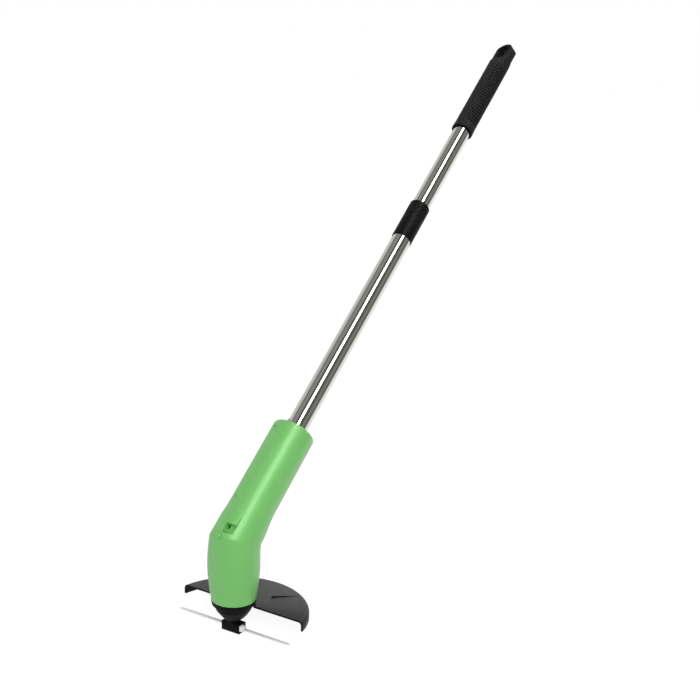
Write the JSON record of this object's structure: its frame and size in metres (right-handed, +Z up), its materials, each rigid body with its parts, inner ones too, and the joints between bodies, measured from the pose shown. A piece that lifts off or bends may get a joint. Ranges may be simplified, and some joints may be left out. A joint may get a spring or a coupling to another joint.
{
  "type": "handheld grass trimmer",
  "caption": "Battery grass trimmer: bent green body with motor pod and guard, cable-tie cutting line, telescopic steel pole with twist lock and ribbed grip.",
  "frame": {"origin": "middle of the spindle block's bottom face, on the spindle axis", "axes": "+Z up the spindle axis, the pole and the guard towards +Y, +X to the right of the flat front edge"},
  "size_m": [0.1502, 0.5996, 0.5809],
  "materials": {
    "green_plastic": "satin moulded green",
    "black_plastic": "moulded black",
    "guard_plastic": "moulded dark grey",
    "tube_steel": "polished stainless, drawn lengthwise",
    "bright_steel": "bright zinc",
    "motor_steel": "plated",
    "magnet": "sintered ferrite",
    "white_plastic": "natural nylon",
    "tie_nylon": "natural nylon, slightly clear",
    "contact_metal": "nickel plated",
    "brass": "plain",
    "copper": "enamelled copper winding",
    "bronze": "sintered",
    "cell_jacket": "plain jacket, bare of print",
    "red_pvc": "wire insulation",
    "black_pvc": "wire insulation"
  },
  "bodies": {
    "housing": {"left_shell": "green_plastic", "right_shell": "green_plastic", "body_screws": "bright_steel", "cell_1": "cell_jacket", "cell_2": "cell_jacket", "cell_3": "cell_jacket", "cell_4": "cell_jacket", "contact_bridge": "contact_metal", "contact_plus": "contact_metal", "contact_minus": "contact_metal", "switch_case": "black_plastic", "switch_terminals": "brass", "motor_can": "motor_steel", "motor_magnets": "magnet", "motor_cap": "white_plastic", "motor_terminals": "brass", "spindle_bush": "bronze", "nose_cone": "black_plastic", "guard": "guard_plastic", "red_wire": "red_pvc", "black_wire": "black_pvc", "switch_wire": "red_pvc", "tube_plug": "black_plastic", "tube_rivets": "bright_steel", "lower_tube": "tube_steel", "lock_collar": "black_plastic"},
    "spindle": {"motor_shaft": "bright_steel", "armature": "copper", "commutator": "copper", "spindle_block": "black_plastic", "tie_left": "tie_nylon", "tie_right": "tie_nylon"},
    "slider": {"switch_slider": "green_plastic"},
    "door": {"battery_door": "green_plastic"},
    "expander": {"lock_expander": "white_plastic"},
    "cone": {"lock_cone": "brass"},
    "handle": {"upper_tube": "tube_steel", "lock_plug": "white_plastic", "grip": "black_plastic"}
  },
  "joints": [
    {"name": "spindle_spin", "type": "hinge", "parent": "housing", "child": "spindle", "pos_m": [0, 0, 0.005], "axis": [0, 0, 1], "continuous": true},
    {"name": "switch_slide", "type": "slide", "parent": "housing", "child": "slider", "axis": [0, -0.766, -0.6428], "range_m": [0, 0.0069]},
    {"name": "door_swing", "type": "hinge", "parent": "housing", "child": "door", "pos_m": [-0.0232, 0.09533, 0.17799], "axis": [0, 0.6428, -0.766], "range_deg": [0, 95]},
    {"name": "pole_slide", "type": "slide", "parent": "housing", "child": "expander", "axis": [0, 0.766, 0.6428], "range_m": [-0.1265, 0]},
    {"name": "lock_twist", "type": "hinge", "parent": "expander", "child": "handle", "pos_m": [0, 0.35238, 0.39368], "axis": [0, 0.766, 0.6428], "range_deg": [0, 270]},
    {"name": "cone_travel", "type": "slide", "parent": "expander", "child": "cone", "axis": [0, -0.766, -0.6428], "range_m": [0, 0.0015]}
  ],
  "couplings": [
    {"joint": "cone_travel", "follows": "lock_twist", "m_per_rad": 0.00031831}
  ]
}
